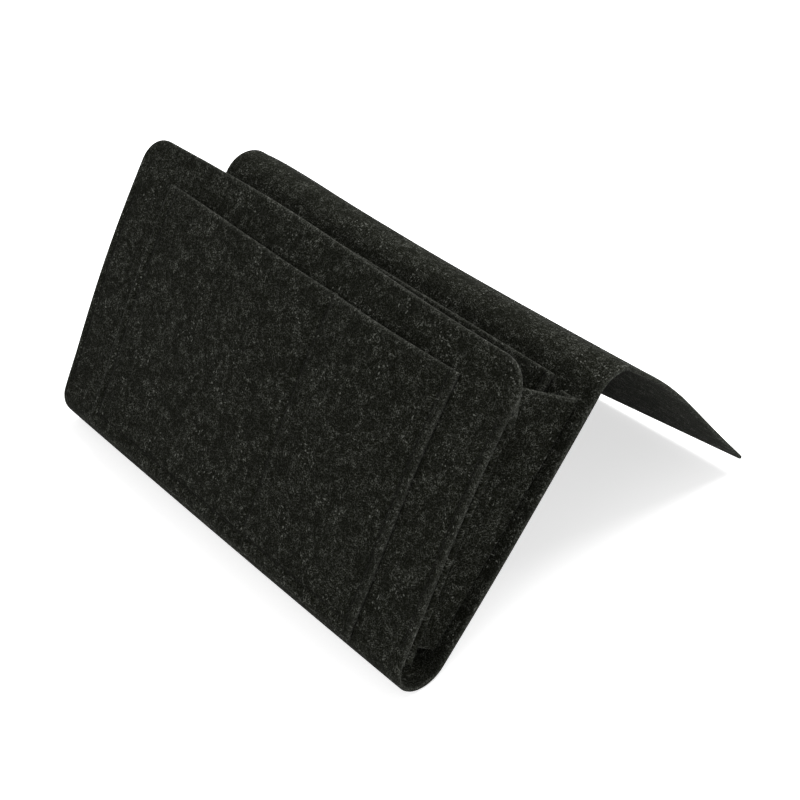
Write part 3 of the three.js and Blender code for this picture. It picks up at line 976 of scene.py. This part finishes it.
left, divider, right = slipSeams
leftTop, rightTop = slip["seamTops"]
slipRuns = [
    stitchRun(left, slipLowS, left, slip["mouth"] + leftTop),
    stitchRun(right, slipLowS, right, slip["mouth"] + rightTop),
    stitchRun(left, slipLowS, right, slipLowS),
]
stitchRows("slip_pocket_stitches", slipRuns, slipFace, "slip_pocket_seam", "front")
dividerRuns = [stitchRun(divider, slipLowS - seam["pitch"], divider, slip["mouth"])]
stitchRows("slip_divider_stitches", dividerRuns, slipFace, "slip_pocket_divider_seam", "front")

innerLowS, innerTopS = panelS("back", innerLow), panelS("back", innerPocket["top"])
innerRuns = [
    stitchRun(-innerSeamX, innerLowS, -innerSeamX, innerTopS),
    stitchRun(innerSeamX, innerLowS, innerSeamX, innerTopS),
    stitchRun(-innerSeamX, innerLowS, innerSeamX, innerLowS),
]
stitchRows("inner_pocket_stitches", innerRuns, innerFace, "inner_pocket_seam", "back")

for side, sign in (("left", -1), ("right", 1)):
    for panel in ("back", "front"):
        foldX = sign * flangeSeamX[panel]
        low, high = flangeEnds(panel)
        run = stitchRun(foldX, panelS(panel, low), foldX, panelS(panel, high))
        stitchRows(f"gusset_{side}_{panel}_stitches", [run], panelFace, f"gusset_{side}_{panel}_seam", panel)
print("stitches: seven seams")


# Camera, at the photograph's viewing angle
view = {
    "place": (0.54473, -0.44919, 0.58202),
    "aim": (0.01868, -0.00908, 0.04906),
    "roll": -2.08,
    "lens": 70.905,
    "sensor": 36.0,
}


def facing(place, aim):
    return (Vector(aim) - Vector(place)).to_track_quat("-Z", "Y")


cameraData = bpy.data.cameras.new("camera")
cameraData.lens = view["lens"]
cameraData.sensor_width = view["sensor"]
camera = addObject("camera", cameraData)
camera.location = view["place"]
camera.rotation_mode = "QUATERNION"
roll = Quaternion((0, 0, 1), math.radians(view["roll"]))
camera.rotation_quaternion = facing(view["place"], view["aim"]) @ roll
bpy.context.scene.camera = camera


# Floor and light, in metres. The floor is white to the camera and keeps a faint shadow.
white = (1, 1, 1, 1)
studio = {
    "floorHalf": 6.0,
    "floorDrop": 0.0005,  # below the part
    "floorGlow": 0.62,
    "floorColour": (0.85, 0.85, 0.85, 1),
    "room": 0.45,
    "seenRoom": 1.0,  # as the camera sees it
    "lampAim": (0, 0, 0.06),
    "lamps": {  # place, size and power
        "overhead_lamp": ((0.0, 0.55, 1.15), 1.0, 21.0),
        "front_lamp": ((0.2, -1.1, 0.8), 0.9, 4.0),
        "side_lamp": ((1.15, -0.45, 0.3), 0.6, 2.5),
    },
}


def floorMaterial():
    material, tree = newMaterial("pale_floor")
    tree.nodes.remove(tree.nodes["Principled BSDF"])
    plain = addNode(tree, "ShaderNodeBsdfDiffuse", Color=studio["floorColour"]).outputs[0]
    glow = addNode(tree, "ShaderNodeEmission", Color=white, Strength=studio["floorGlow"]).outputs[0]
    both = addNode(tree, "ShaderNodeAddShader")
    tree.links.new(plain, both.inputs[0])
    tree.links.new(glow, both.inputs[1])
    choice = mixShader(tree, seenRay(tree), plain, both.outputs[0])
    tree.links.new(choice, tree.nodes["Material Output"].inputs["Surface"])
    return material


far = studio["floorHalf"]
floorCorners = [(-far, -far, 0), (far, -far, 0), (far, far, 0), (-far, far, 0)]
floorMesh = bpy.data.meshes.new("floor")
floorMesh.from_pydata(floorCorners, [], [(0, 1, 2, 3)])
floorMesh.materials.append(floorMaterial())
floor = addObject("floor", floorMesh)
floor.location.z = cadBox[0][2] - studio["floorDrop"]


# Light: an even white room, a broad lamp overhead and weaker ones in front and on the right
for lampName, (place, size, power) in studio["lamps"].items():
    lampData = bpy.data.lights.new(lampName, "AREA")
    lampData.shape = "DISK"
    lampData.size = size
    lampData.energy = power
    lamp = addObject(lampName, lampData)
    lamp.location = place
    lamp.rotation_mode = "QUATERNION"
    lamp.rotation_quaternion = facing(place, studio["lampAim"])
world = bpy.data.worlds.new("white_room")
bpy.context.scene.world = world
world.use_nodes = True
worldTree = world.node_tree
roomLight = worldTree.nodes["Background"]
roomLight.inputs["Color"].default_value = white
roomLight.inputs["Strength"].default_value = studio["room"]
seenRoom = addNode(worldTree, "ShaderNodeBackground", Color=white, Strength=studio["seenRoom"])
roomChoice = mixShader(worldTree, seenRay(worldTree), roomLight.outputs[0], seenRoom.outputs[0])
worldTree.links.new(roomChoice, worldTree.nodes["World Output"].inputs["Surface"])
bpy.context.scene.view_settings.view_transform = "Standard"
print("camera, floor and light: set")
